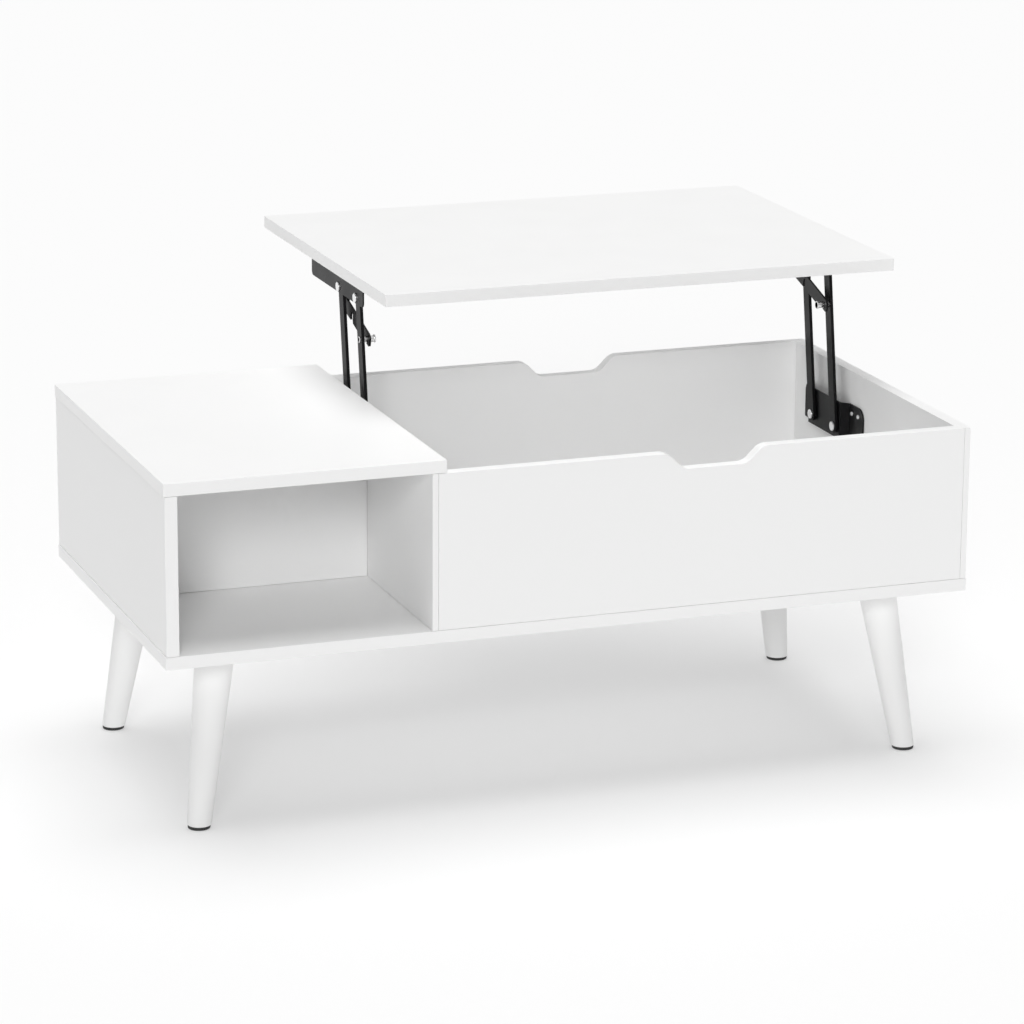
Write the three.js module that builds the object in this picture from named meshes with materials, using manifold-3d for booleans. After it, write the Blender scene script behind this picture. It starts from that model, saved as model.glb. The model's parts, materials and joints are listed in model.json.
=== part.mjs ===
// Coffee table with an open cubby on the left and a storage box on the right under a lifting top.
// The lifting top rides on two parallelogram hinges and is drawn raised, past upright, on its latches.
// Millimetres, +Z up, +X right, the front faces -Y. The floor is z = 0.
import * as THREE from "three";
import { mergeVertices } from "three/addons/utils/BufferGeometryUtils.js";
import Module from "manifold-3d";

const wasm = await Module();
wasm.setup();

// Overall sizes
const tableLength = 1000;
const tableDepth = 500;
const legHeight = 212; // floor to the underside of the base
const wallHeight = 188; // standing boards, between the base and the tops

// Boards
const boardThickness = 15;
const boardGap = 0.3; // at every joint between boards, and between boards and legs
const panelInset = 1; // the side panels stand back this much from the ends of the base and tops
const fixedTopLength = 336;
const fixedTopOverhang = 2.5; // past the divider, into the storage box
const topSplit = 2; // slot between the fixed top and the lifting top
const edgeLap = 7.5; // how far the front and back boards cover the divider's and right side's edges

// Finger notch in the front and back boards
const notchMouth = 120;
const notchFloor = 80;
const notchDepth = 20;
const notchRound = 7;

// Legs, glides and the bolts that hold the legs
const legTopRadius = 24;
const legFootRadius = 14.2;
const legInsetX = 82; // centre of a leg's top from the end of the base
const legInsetY = 84; // and from its front or back edge
const legSplayX = 31; // how far the foot stands outward of the top
const legSplayY = 29;
const glideRadius = 13.2;
const glideHeight = 4;
const glideEdge = 1; // chamfer at the floor
const glideStemRadius = 2.5;
const glideStemLength = 14;
const boltRadius = 4;
const boltLength = 46;
const boltInBase = 11;

// Lifting hinges: angles are from +Y towards +Z
const armLength = 206; // pivot to pivot
const armWidth = 17;
const armThickness = 4;
const armLean = 9; // degrees past upright when raised
const liftSwing = 82.5; // degrees from raised to closed
const pivotSpacing = 68; // front arm to rear arm
const rearPivotInset = 102; // rear lower pivot from the back edge
const upperPivotDrop = 16.5; // upper pivots below the lifting top
const sheet = 2; // thickness of the base plates and top brackets
const webOffset = 9.5; // pivot webs stand this far off the panel
const layerGap = 0.5; // between parts that slide past each other
const seatGap = 0.2; // between a part and what it is fastened to
const bore = 0.2; // radial clearance round a rivet, pin or screw

// Base plates
const plateBelow = 15; // below the lower pivots
const plateAbove = 33;
const plateRound = 14; // upper corners of the feet
const webFront = 10; // web ahead of the front pivot
const webRear = 17; // web behind the rear pivot
const joggle = 10; // length over which the sheet steps from the web to a foot
const frontFoot = 41;
const rearFoot = 22;

// Top brackets
const bracketFront = 97; // ahead of the rear upper pivot
const bracketRear = 110; // behind it
const bracketBelow = 7; // web below the upper pivots
const bracketRound = 6;
const lugWidth = 19;

// Latches
const latchPivotY = 13; // from the rear upper pivot
const latchPivotZ = -23;
const latchThickness = 2.5;
const latchLayer = 20.5; // latch's outer face from the panel
const latchSwing = 32.5; // degrees, lifted by the pin as the top closes
const latchAbove = 10; // upper edge from the line between its pivot and the pin
const latchBelow = 8;
const latchEye = 9; // radius round its pivot
const hookReach = 12; // past the pin's centre
const hookDrop = 5; // below the pin's centre
const hookTipRound = 3;
const hookBackRound = 8;
const latchTaper = 30; // from the eye to where the bar has its full width
const pinFromPivot = 51; // along the front arm, below its upper pivot
const pinRollerRadius = 4;
const pinLength = 14; // of the roller, inward of the arm
const pinFlange = 1.4;
const pinFlangeProud = 1; // over the roller's radius
const pinTailRadius = 4; // riveted end, on the arm's outer face
const pinTailHeight = 0.9;
const pinRun = 0.6; // clearance between the latch and the roller's path

// Rivets and screws
const rivetRadius = 3;
const rivetHeadRadius = 6;
const rivetHeadHeight = 1.8;
const headEdge = 0.6; // straight rim of every head
const headFlat = 0.7; // share of a head's radius that stays flat
const latchRivetRadius = 2.5;
const latchRivetHeadRadius = 3.6;
const screwRadius = 1.75;
const screwHeadRadius = 2.8;
const screwHeadHeight = 1.8;
const screwInBoard = 11.5;
const screwTip = 3;
const baseScrewRadius = 3;
const baseScrewHeadRadius = 5;
const baseScrewHeadHeight = 3;
const baseScrewLength = 48;
const baseScrewInset = 70; // from the front and back edges
const plateScrewRise = 22; // base plate screws above the lower pivots
const plateScrewEdge = 12.5; // from the foot's end
const plateScrewPitch = 19;
const bracketScrewEdge = 14; // from the bracket's rear end
const bracketScrewPitch = 62;

const roundSegments = 16;
const legSegments = 32;
const cornerSegments = 6;
const sweepSteps = 24; // of the pin's path through the latch
const cutOver = 1; // how far cutting tools pass the face they cut

// Sizes that follow
const half = tableLength / 2;
const boxTop = boardThickness + wallHeight; // top edges of the box, above the base's underside
const topUnderside = boxTop + boardGap;
const dividerRight = fixedTopLength - fixedTopOverhang - half;
const dividerLeft = dividerRight - boardThickness;
const leftInner = panelInset + boardThickness - half;
const rightInner = half - panelInset - boardThickness;
const liftTopStart = fixedTopLength + topSplit - half;
const liftTopCentre = (liftTopStart + half) / 2;
const frontStart = dividerRight - edgeLap;
const frontEnd = rightInner + edgeLap;
const raisedAngle = THREE.MathUtils.degToRad(90 - armLean);
const closedAngle = raisedAngle + THREE.MathUtils.degToRad(liftSwing);
const armRun = armLength * Math.cos(raisedAngle);
const armRise = armLength * Math.sin(raisedAngle);
const liftBack = armRun - armLength * Math.cos(closedAngle); // raised top, behind its closed place
const liftUp = armRise - armLength * Math.sin(closedAngle);
const rearPivotY = tableDepth - rearPivotInset;
const lowerPivotZ = topUnderside - upperPivotDrop - armLength * Math.sin(closedAngle);
const armLayer = webOffset + sheet + layerGap;
const lugLayer = latchLayer + latchThickness + layerGap;
const flangeWidth = lugLayer + sheet - webOffset;
const flangeScrewInset = (armLayer + latchLayer) / 2 - webOffset;

// Materials
const whiteBoard = () => new THREE.MeshStandardMaterial({ color: 0xf2f2f1, roughness: 0.45, metalness: 0 });
const whiteLeg = () => new THREE.MeshStandardMaterial({ color: 0xf0f0ee, roughness: 0.35, metalness: 0 });
const blackSteel = () => new THREE.MeshStandardMaterial({ color: 0x17181a, roughness: 0.4, metalness: 0.3 });
const zincSteel = () => new THREE.MeshStandardMaterial({ color: 0xc9cbcd, roughness: 0.3, metalness: 0.9 });
const blackPlastic = () => new THREE.MeshStandardMaterial({ color: 0x141414, roughness: 0.6, metalness: 0 });

// Solids

function solidOf(geometry) {
  const plain = new THREE.BufferGeometry();
  plain.setAttribute("position", geometry.getAttribute("position"));
  plain.setIndex(geometry.getIndex());
  const merged = mergeVertices(plain, 1e-4);
  return new wasm.Manifold(
    new wasm.Mesh({
      numProp: 3,
      vertProperties: merged.attributes.position.array,
      triVerts: new Uint32Array(merged.index.array),
    }),
  );
}

function geometryOf(solid) {
  const mesh = solid.getMesh();
  const geometry = new THREE.BufferGeometry();
  geometry.setAttribute("position", new THREE.BufferAttribute(mesh.vertProperties, 3));
  geometry.setIndex(new THREE.BufferAttribute(mesh.triVerts, 1));
  return geometry;
}

function block(low, high) {
  const size = high.map((value, i) => value - low[i]);
  const middle = high.map((value, i) => (value + low[i]) / 2);
  return solidOf(new THREE.BoxGeometry(...size).translate(...middle));
}

// A turned piece: its profile is [radius, height] pairs, starting and ending on the axis.
function turned(profile, segments = roundSegments) {
  const points = profile.map(([radius, height]) => new THREE.Vector2(radius, height));
  return new THREE.LatheGeometry(points, segments);
}

// The same, standing along +Z or lying along +X.
const turnedUp = (profile, segments) => turned(profile, segments).rotateX(Math.PI / 2);
const turnedAcross = (profile, segments) => turned(profile, segments).rotateZ(-Math.PI / 2);

// A round hole or shaft along +X, from x1 to x2.
function roundAcross(radius, x1, x2, y, z) {
  const profile = [[0, x1], [radius, x1], [radius, x2], [0, x2]];
  return solidOf(turnedAcross(profile).translate(0, y, z));
}

function roundUp(radius, z1, z2, x, y) {
  const profile = [[0, z1], [radius, z1], [radius, z2], [0, z2]];
  return solidOf(turnedUp(profile).translate(x, y, 0));
}

// An outline in the YZ plane, given thickness along +X from x.
function sideProfile(shape, x, thickness) {
  const geometry = new THREE.ExtrudeGeometry(shape, {
    depth: thickness,
    bevelEnabled: false,
    curveSegments: roundSegments / 2,
  });
  const turn = new THREE.Matrix4().makeBasis(
    new THREE.Vector3(0, 1, 0),
    new THREE.Vector3(0, 0, 1),
    new THREE.Vector3(1, 0, 0),
  );
  return solidOf(geometry.applyMatrix4(turn).translate(x, 0, 0));
}

const cut = (solid, tools) => tools.reduce((made, tool) => made.subtract(tool), solid);
const join = (solids) => solids.reduce((made, solid) => made.add(solid));

// Adds a named mesh whose geometry is centred on its own position.
function place(group, name, shape, material) {
  const geometry = shape.isBufferGeometry ? shape : geometryOf(shape);
  geometry.computeBoundingBox();
  const centre = geometry.boundingBox.getCenter(new THREE.Vector3());
  geometry.translate(-centre.x, -centre.y, -centre.z);
  const mesh = new THREE.Mesh(geometry, material);
  mesh.name = name;
  mesh.position.copy(centre);
  group.add(mesh);
}

// Groups: the carcass is measured from the base's underside and the front edge

const table = new THREE.Group();
const carcass = new THREE.Group();
carcass.position.set(0, -(tableDepth + liftBack) / 2, legHeight);
const lifted = new THREE.Group();
lifted.position.set(0, liftBack, liftUp);
carcass.add(lifted);
table.add(carcass);

// Legs

// A leg's frame has its origin at the leg's top centre and leans with it.
const legSpots = [
  ["front_left", -1, -1],
  ["front_right", 1, -1],
  ["back_left", -1, 1],
  ["back_right", 1, 1],
];
const legDrop = legHeight - glideHeight;

function legFrame(sideX, sideY) {
  const topX = sideX * (half - legInsetX);
  const topY = tableDepth / 2 + sideY * (tableDepth / 2 - legInsetY);
  const lean = new THREE.Matrix4().set(
    1, 0, (-sideX * legSplayX) / legHeight, topX,
    0, 1, (-sideY * legSplayY) / legHeight, topY,
    0, 0, 1, 0,
    0, 0, 0, 1,
  );
  return lean;
}

// Leaned pieces keep their level ends, so every leg meets the base and its glide squarely.
function leaned(profile, frame, segments) {
  return solidOf(turnedUp(profile, segments).applyMatrix4(frame));
}

function legBolt(frame, clearance) {
  const radius = boltRadius + clearance;
  const low = boltInBase - boltLength - clearance;
  const high = boltInBase + clearance;
  const profile = [[0, low], [radius, low], [radius, high], [0, high]];
  return leaned(profile, frame);
}

function glide(frame, clearance) {
  const foot = -legDrop - boardGap;
  const stem = glideStemRadius + clearance;
  const profile = [
    [0, -legHeight],
    [glideRadius - glideEdge, -legHeight],
    [glideRadius, glideEdge - legHeight],
    [glideRadius, foot],
    [stem, foot],
    [stem, foot + glideStemLength + clearance],
    [0, foot + glideStemLength + clearance],
  ];
  return leaned(profile, frame);
}

function legWood(frame) {
  const profile = [
    [0, -legDrop],
    [legFootRadius, -legDrop],
    [legTopRadius, -boardGap],
    [0, -boardGap],
  ];
  return cut(leaned(profile, frame, legSegments), [legBolt(frame, bore), glide(frame, bore)]);
}

for (const [corner, sideX, sideY] of legSpots) {
  const frame = legFrame(sideX, sideY);
  place(carcass, "leg_" + corner, legWood(frame), whiteLeg());
  place(carcass, "glide_" + corner, glide(frame, 0), blackPlastic());
  place(carcass, "leg_bolt_" + corner, legBolt(frame, 0), zincSteel());
}

// Screws through the base into the standing boards

const baseScrewX = {
  left: leftInner - boardThickness / 2,
  divider: dividerLeft + boardThickness / 2,
  right: rightInner + boardThickness / 2,
};
const baseScrewY = { front: baseScrewInset, back: tableDepth - baseScrewInset };

function baseScrew(x, y, clearance) {
  const radius = baseScrewRadius + clearance;
  const head = baseScrewHeadRadius + clearance;
  const tip = baseScrewLength + clearance;
  const profile = [
    [0, -clearance],
    [head, -clearance],
    [head, baseScrewHeadHeight + clearance],
    [radius, baseScrewHeadHeight + clearance],
    [radius, tip - screwTip],
    [0, tip],
  ];
  return solidOf(turnedUp(profile).translate(x, y, 0));
}

const baseScrewSpots = Object.entries(baseScrewX).flatMap(([board, x]) =>
  Object.entries(baseScrewY).map(([end, y]) => ({ name: "base_screw_" + board + "_" + end, x, y })),
);
const baseScrewHoles = baseScrewSpots.map(({ x, y }) => baseScrew(x, y, bore));
for (const { name, x, y } of baseScrewSpots) {
  place(carcass, name, baseScrew(x, y, 0), zincSteel());
}

// One screw along +X or +Z: its head's underside is at 0 and it points the positive way.
function screwProfile(clearance) {
  const radius = screwRadius + clearance;
  return [
    [0, -screwHeadHeight],
    [screwHeadRadius * headFlat, -screwHeadHeight],
    [screwHeadRadius, -headEdge],
    [screwHeadRadius, 0],
    [radius, 0],
    [radius, sheet + screwInBoard - screwTip],
    [0, sheet + screwInBoard + clearance],
  ];
}

// Hinges. A hinge's frame has x = 0 on the panel's inner face, +X into the box, and its origin on
// the rear lower pivot. The right hinge is the left one mirrored.

const webSpan = { front: -pivotSpacing - webFront, rear: webRear };
const footSpan = { front: webSpan.front - joggle - frontFoot, rear: webSpan.rear + joggle + rearFoot };
const plateScrewSpots = [
  ["front", footSpan.front + plateScrewEdge],
  ["middle", footSpan.front + plateScrewEdge + plateScrewPitch],
  ["rear", footSpan.rear - plateScrewEdge],
];
const upper = { y: armRun, z: armRise }; // rear upper pivot, raised
const bracketTop = upper.z + upperPivotDrop;
const bracketScrewSpots = [
  ["rear", upper.y + bracketRear - bracketScrewEdge],
  ["middle", upper.y + bracketRear - bracketScrewEdge - bracketScrewPitch],
];

function plateScrew(y, clearance) {
  const seat = sheet + 2 * seatGap;
  const shape = turnedAcross(screwProfile(clearance)).rotateZ(Math.PI);
  return solidOf(shape.translate(seat, y, plateScrewRise));
}

function bracketScrew(y, clearance) {
  const shape = turnedUp(screwProfile(clearance));
  return solidOf(shape.translate(webOffset + flangeScrewInset, y, bracketTop - sheet - 2 * seatGap));
}

// The base plate: a web on the pivots, stepped down to a foot at each end.
function basePlate() {
  const low = seatGap;
  const high = webOffset;
  const plan = new THREE.Shape();
  plan.moveTo(low, footSpan.front);
  plan.lineTo(low + sheet, footSpan.front);
  plan.lineTo(low + sheet, webSpan.front - joggle);
  plan.lineTo(high + sheet, webSpan.front);
  plan.lineTo(high + sheet, webSpan.rear);
  plan.lineTo(low + sheet, webSpan.rear + joggle);
  plan.lineTo(low + sheet, footSpan.rear);
  plan.lineTo(low, footSpan.rear);
  plan.lineTo(low, webSpan.rear + joggle - sheet / 2);
  plan.lineTo(high, webSpan.rear - sheet / 2);
  plan.lineTo(high, webSpan.front + sheet / 2);
  plan.lineTo(low, webSpan.front - joggle + sheet / 2);
  plan.closePath();
  const height = plateBelow + plateAbove;
  const bent = new THREE.ExtrudeGeometry(plan, { depth: height, bevelEnabled: false });
  const outline = new THREE.Shape();
  outline.moveTo(footSpan.front, -plateBelow);
  outline.lineTo(footSpan.rear, -plateBelow);
  outline.lineTo(footSpan.rear, plateAbove - plateRound);
  outline.absarc(footSpan.rear - plateRound, plateAbove - plateRound, plateRound, 0, Math.PI / 2);
  outline.absarc(footSpan.front + plateRound, plateAbove - plateRound, plateRound, Math.PI / 2, Math.PI);
  outline.closePath();
  const rounded = solidOf(bent.translate(0, 0, -plateBelow)).intersect(
    sideProfile(outline, -cutOver, webOffset + sheet + 2 * cutOver),
  );
  const pivots = [0, -pivotSpacing].map((y) =>
    roundAcross(rivetRadius + bore, webOffset - cutOver, armLayer, y, 0),
  );
  const screws = plateScrewSpots.map(([, y]) =>
    roundAcross(screwRadius + bore, -cutOver, sheet + cutOver, y, plateScrewRise),
  );
  return cut(rounded, [...pivots, ...screws]);
}

// A flat bar with round ends, from the lower to the upper pivot.
function armShape() {
  const end = armWidth / 2;
  const shape = new THREE.Shape();
  shape.absarc(0, 0, end, raisedAngle + Math.PI / 2, raisedAngle + 1.5 * Math.PI);
  shape.absarc(upper.y, upper.z, end, raisedAngle - Math.PI / 2, raisedAngle + Math.PI / 2);
  shape.closePath();
  return shape;
}

const pinOffset = {
  y: upper.y - pinFromPivot * Math.cos(raisedAngle),
  z: upper.z - pinFromPivot * Math.sin(raisedAngle),
};

function arm(shiftY, holds) {
  const bar = sideProfile(armShape(), armLayer, armThickness);
  const holes = holds.map(({ y, z }) =>
    roundAcross(rivetRadius + bore, armLayer - cutOver, armLayer + armThickness + cutOver, y, z),
  );
  return cut(bar, holes).translate([0, shiftY, 0]);
}

// The top bracket: a web on the pivots, a flange under the top, and a lug that holds the latch.
function topBracket() {
  const front = upper.y - bracketFront;
  const rear = upper.y + bracketRear;
  const bottom = upper.z - bracketBelow;
  const top = bracketTop - seatGap;
  const web = new THREE.Shape();
  web.moveTo(front, top);
  web.absarc(front + bracketRound, bottom + bracketRound, bracketRound, Math.PI, 1.5 * Math.PI);
  web.absarc(rear - bracketRound, bottom + bracketRound, bracketRound, 1.5 * Math.PI, 2 * Math.PI);
  web.lineTo(rear, top);
  web.closePath();
  const latchY = upper.y + latchPivotY;
  const latchZ = upper.z + latchPivotZ;
  const lug = new THREE.Shape();
  lug.moveTo(latchY + lugWidth / 2, top);
  lug.lineTo(latchY - lugWidth / 2, top);
  lug.absarc(latchY, latchZ, lugWidth / 2, Math.PI, 2 * Math.PI);
  lug.closePath();
  const flange = block([webOffset, front, top - sheet], [webOffset + flangeWidth, rear, top]);
  const pressed = join([sideProfile(web, webOffset, sheet), flange, sideProfile(lug, lugLayer, sheet)]);
  const pivots = [0, -pivotSpacing].map((shift) =>
    roundAcross(rivetRadius + bore, webOffset - cutOver, armLayer, upper.y + shift, upper.z),
  );
  const latchHole = roundAcross(
    latchRivetRadius + bore, lugLayer - layerGap / 2, lugLayer + sheet + cutOver, latchY, latchZ,
  );
  const screws = bracketScrewSpots.map(([, y]) =>
    roundUp(screwRadius + bore, top - sheet - cutOver, top + cutOver, webOffset + flangeScrewInset, y),
  );
  return cut(pressed, [...pivots, latchHole, ...screws]);
}

// The pin's centre in the latch's own frame, when the top has closed by a share of its swing.
function pinInLatch(share) {
  const armAngle = raisedAngle + Math.PI + share * THREE.MathUtils.degToRad(liftSwing);
  const pin = new THREE.Vector2(
    -pivotSpacing + pinFromPivot * Math.cos(armAngle) - latchPivotY,
    pinFromPivot * Math.sin(armAngle) - latchPivotZ,
  );
  return pin.rotateAround(new THREE.Vector2(), share * THREE.MathUtils.degToRad(latchSwing));
}

// A hooked bar whose underside is cut away wherever the pin passes on its way to closed.
function latch() {
  const pin = pinInLatch(0);
  const reach = pin.length();
  const turn = pin.angle();
  const bar = new THREE.Shape();
  bar.absarc(0, 0, latchEye, Math.PI / 2, 1.5 * Math.PI);
  bar.lineTo(latchTaper, -latchBelow);
  bar.lineTo(reach - hookDrop, -latchBelow);
  bar.lineTo(reach, -hookDrop);
  const tip = reach + hookReach;
  bar.absarc(tip - hookTipRound, hookTipRound - hookDrop, hookTipRound, 1.5 * Math.PI, 2 * Math.PI);
  bar.absarc(tip - hookBackRound, latchAbove - hookBackRound, hookBackRound, 0, Math.PI / 2);
  bar.closePath();
  const flat = sideProfile(bar, latchLayer, latchThickness);
  const upright = new THREE.Matrix4().makeScale(1, 1, -1);
  upright.premultiply(new THREE.Matrix4().makeRotationX(turn));
  const blank = flat.transform(upright.elements);
  const clear = pinRollerRadius + pinRun;
  const path = Array.from({ length: sweepSteps + 1 }, (_, i) => pinInLatch(i / sweepSteps));
  const swept = path.map(({ x, y }) =>
    roundAcross(clear, latchLayer - cutOver, latchLayer + latchThickness + cutOver, x, y),
  );
  const hole = roundAcross(
    latchRivetRadius + bore, latchLayer - cutOver, latchLayer + latchThickness + cutOver, 0, 0,
  );
  return cut(blank, [join(swept), hole]).translate([0, upper.y + latchPivotY, upper.z + latchPivotZ]);
}

// A rivet through a stack from x1 to x2, with a head on each side.
function rivet(radius, headRadius, x1, x2, y, z) {
  const low = x1 - seatGap;
  const high = x2 + seatGap;
  const profile = [
    [0, low - rivetHeadHeight],
    [headRadius * headFlat, low - rivetHeadHeight],
    [headRadius, low - headEdge],
    [headRadius, low],
    [radius, low],
    [radius, high],
    [headRadius, high],
    [headRadius, high + headEdge],
    [headRadius * headFlat, high + rivetHeadHeight],
    [0, high + rivetHeadHeight],
  ];
  return turnedAcross(profile).translate(0, y, z);
}

function latchPin() {
  const outer = armLayer - seatGap;
  const inner = armLayer + armThickness + seatGap;
  const profile = [
    [0, outer - pinTailHeight],
    [pinTailRadius, outer - pinTailHeight],
    [pinTailRadius, outer],
    [rivetRadius, outer],
    [rivetRadius, inner],
    [pinRollerRadius, inner],
    [pinRollerRadius, inner + pinLength],
    [pinRollerRadius + pinFlangeProud, inner + pinLength],
    [pinRollerRadius + pinFlangeProud, inner + pinLength + pinFlange],
    [0, inner + pinLength + pinFlange],
  ];
  return turnedAcross(profile).translate(0, pinOffset.y - pivotSpacing, pinOffset.z);
}

function addHinge(side, panelFace) {
  const name = side > 0 ? "left" : "right";
  const frame = new THREE.Group();
  frame.position.set(panelFace, rearPivotY, lowerPivotZ);
  frame.scale.set(side, 1, 1);
  carcass.add(frame);
  const pivots = [{ y: 0, z: 0 }, upper];
  const stack = [webOffset, armLayer + armThickness];
  place(frame, name + "_base_plate", basePlate(), blackSteel());
  place(frame, name + "_rear_arm", arm(0, pivots), blackSteel());
  place(frame, name + "_front_arm", arm(-pivotSpacing, [...pivots, pinOffset]), blackSteel());
  place(frame, name + "_top_bracket", topBracket(), blackSteel());
  place(frame, name + "_latch", latch(), blackSteel());
  place(frame, name + "_latch_pin", latchPin(), zincSteel());
  const rivets = [
    ["rear_lower", 0, 0],
    ["front_lower", -pivotSpacing, 0],
    ["rear_upper", upper.y, upper.z],
    ["front_upper", upper.y - pivotSpacing, upper.z],
  ];
  for (const [spot, y, z] of rivets) {
    const shape = rivet(rivetRadius, rivetHeadRadius, ...stack, y, z);
    place(frame, name + "_" + spot + "_rivet", shape, zincSteel());
  }
  const latchRivet = rivet(
    latchRivetRadius, latchRivetHeadRadius, latchLayer, lugLayer + sheet,
    upper.y + latchPivotY, upper.z + latchPivotZ,
  );
  place(frame, name + "_latch_rivet", latchRivet, zincSteel());
  for (const [spot, y] of plateScrewSpots) {
    place(frame, name + "_plate_screw_" + spot, plateScrew(y, 0), zincSteel());
  }
  for (const [spot, y] of bracketScrewSpots) {
    place(frame, name + "_bracket_screw_" + spot, bracketScrew(y, 0), zincSteel());
  }
}

addHinge(1, dividerRight);
addHinge(-1, rightInner);

// Screw holes of a hinge, in the carcass's frame, on the panel and in the raised top.
function hingeHoles(side, panelFace, spots, screw) {
  const mirror = new THREE.Matrix4().makeScale(side, 1, 1);
  mirror.setPosition(panelFace, rearPivotY, lowerPivotZ);
  return spots.map(([, y]) => screw(y, bore).transform(mirror.elements));
}

const leftPlateHoles = hingeHoles(1, dividerRight, plateScrewSpots, plateScrew);
const rightPlateHoles = hingeHoles(-1, rightInner, plateScrewSpots, plateScrew);
const bracketHoles = [
  ...hingeHoles(1, dividerRight, bracketScrewSpots, bracketScrew),
  ...hingeHoles(-1, rightInner, bracketScrewSpots, bracketScrew),
];

// Boards

const wallLow = boardThickness + boardGap;
const depthMiddle = tableDepth / 2;

function basePanel() {
  const bolts = legSpots.map(([, sideX, sideY]) => legBolt(legFrame(sideX, sideY), bore));
  const board = block([-half, 0, 0], [half, tableDepth, boardThickness]);
  return cut(board, [...bolts, ...baseScrewHoles]);
}

// A standing board across the table. The front and back boards cover its edges from lapLow to lapHigh.
function crossPanel(left, lapLow, lapHigh, holes) {
  const board = block([left, 0, wallLow], [left + boardThickness, tableDepth, boxTop]);
  const laps = [
    block([lapLow, -cutOver, 0], [lapHigh, boardThickness + boardGap, boxTop + cutOver]),
    block(
      [lapLow, tableDepth - boardThickness - boardGap, 0],
      [lapHigh, tableDepth + cutOver, boxTop + cutOver],
    ),
  ];
  return cut(board, [...laps, ...holes]);
}

// The front board stands at y = 0 and the back board is the same, set against the back edge.
function longPanel(low) {
  const board = block([frontStart, low, wallLow], [frontEnd, low + boardThickness, boxTop]);
  const mouth = notchMouth / 2;
  const floor = notchFloor / 2;
  const side = new THREE.Vector2(mouth - floor, notchDepth).setLength(notchRound); // along a sloping side
  const lip = new THREE.Shape();
  lip.moveTo(-mouth - notchRound, cutOver);
  lip.lineTo(-mouth - notchRound, 0);
  lip.quadraticCurveTo(-mouth, 0, -mouth + side.x, -side.y);
  lip.lineTo(-floor - side.x, side.y - notchDepth);
  lip.quadraticCurveTo(-floor, -notchDepth, -floor + notchRound, -notchDepth);
  lip.lineTo(floor - notchRound, -notchDepth);
  lip.quadraticCurveTo(floor, -notchDepth, floor + side.x, side.y - notchDepth);
  lip.lineTo(mouth - side.x, -side.y);
  lip.quadraticCurveTo(mouth, 0, mouth + notchRound, 0);
  lip.lineTo(mouth + notchRound, cutOver);
  lip.closePath();
  const tool = new THREE.ExtrudeGeometry(lip, {
    depth: boardThickness + 2 * cutOver,
    bevelEnabled: false,
    curveSegments: cornerSegments,
  });
  tool.rotateX(Math.PI / 2).translate(liftTopCentre, low + boardThickness + cutOver, boxTop);
  return cut(board, [solidOf(tool)]);
}

place(carcass, "base_panel", basePanel(), whiteBoard());
place(
  carcass, "left_side_panel",
  cut(block([panelInset - half, 0, wallLow], [leftInner, tableDepth, boxTop]), baseScrewHoles),
  whiteBoard(),
);
const dividerHoles = [...baseScrewHoles, ...leftPlateHoles];
const divider = crossPanel(dividerLeft, frontStart - boardGap, dividerRight + cutOver, dividerHoles);
place(carcass, "divider_panel", divider, whiteBoard());
const rightHoles = [...baseScrewHoles, ...rightPlateHoles];
const rightSide = crossPanel(rightInner, rightInner - cutOver, frontEnd + boardGap, rightHoles);
place(carcass, "right_side_panel", rightSide, whiteBoard());
place(
  carcass, "cubby_back_panel",
  block(
    [leftInner + boardGap, depthMiddle - boardThickness / 2, wallLow],
    [dividerLeft - boardGap, depthMiddle + boardThickness / 2, boxTop],
  ),
  whiteBoard(),
);
place(carcass, "front_panel", longPanel(0), whiteBoard());
place(carcass, "back_panel", longPanel(tableDepth - boardThickness), whiteBoard());
place(
  carcass, "fixed_top",
  block([-half, 0, topUnderside], [fixedTopLength - half, tableDepth, topUnderside + boardThickness]),
  whiteBoard(),
);

// The lifting top is made in its closed place and moved by its group, so its holes move back.
const closedHoles = bracketHoles.map((hole) => hole.translate([0, -liftBack, -liftUp]));
const closedTop = block(
  [liftTopStart, 0, topUnderside],
  [half, tableDepth, topUnderside + boardThickness],
);
place(lifted, "lift_top", cut(closedTop, closedHoles), whiteBoard());

export default table;
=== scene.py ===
import json
import math

import bpy
from mathutils import Euler, Matrix, Vector


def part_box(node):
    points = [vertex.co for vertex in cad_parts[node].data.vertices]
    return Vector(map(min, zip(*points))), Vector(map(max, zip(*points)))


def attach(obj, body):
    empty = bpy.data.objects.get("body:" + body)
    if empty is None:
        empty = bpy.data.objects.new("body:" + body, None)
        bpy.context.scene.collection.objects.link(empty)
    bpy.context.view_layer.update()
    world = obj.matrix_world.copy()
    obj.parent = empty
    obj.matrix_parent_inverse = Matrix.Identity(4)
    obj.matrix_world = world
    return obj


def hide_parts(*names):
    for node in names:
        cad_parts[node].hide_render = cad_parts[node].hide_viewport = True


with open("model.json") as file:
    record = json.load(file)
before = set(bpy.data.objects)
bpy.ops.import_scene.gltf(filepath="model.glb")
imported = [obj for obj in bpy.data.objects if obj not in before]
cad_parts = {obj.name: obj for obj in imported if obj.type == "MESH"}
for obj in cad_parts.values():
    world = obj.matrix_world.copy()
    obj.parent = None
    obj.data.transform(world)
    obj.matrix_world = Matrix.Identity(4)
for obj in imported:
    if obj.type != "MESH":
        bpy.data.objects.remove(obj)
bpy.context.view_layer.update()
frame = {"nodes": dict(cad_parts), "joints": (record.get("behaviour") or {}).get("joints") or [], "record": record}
record = frame["record"]
mm = 0.001
slack = 0.1 * mm         # two measures this close count as the same
fineSlack = 0.00002      # the same, where edges are only tenths of a millimetre apart
boardGap = 0.3 * mm      # at every joint between boards, legs and glides

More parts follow.
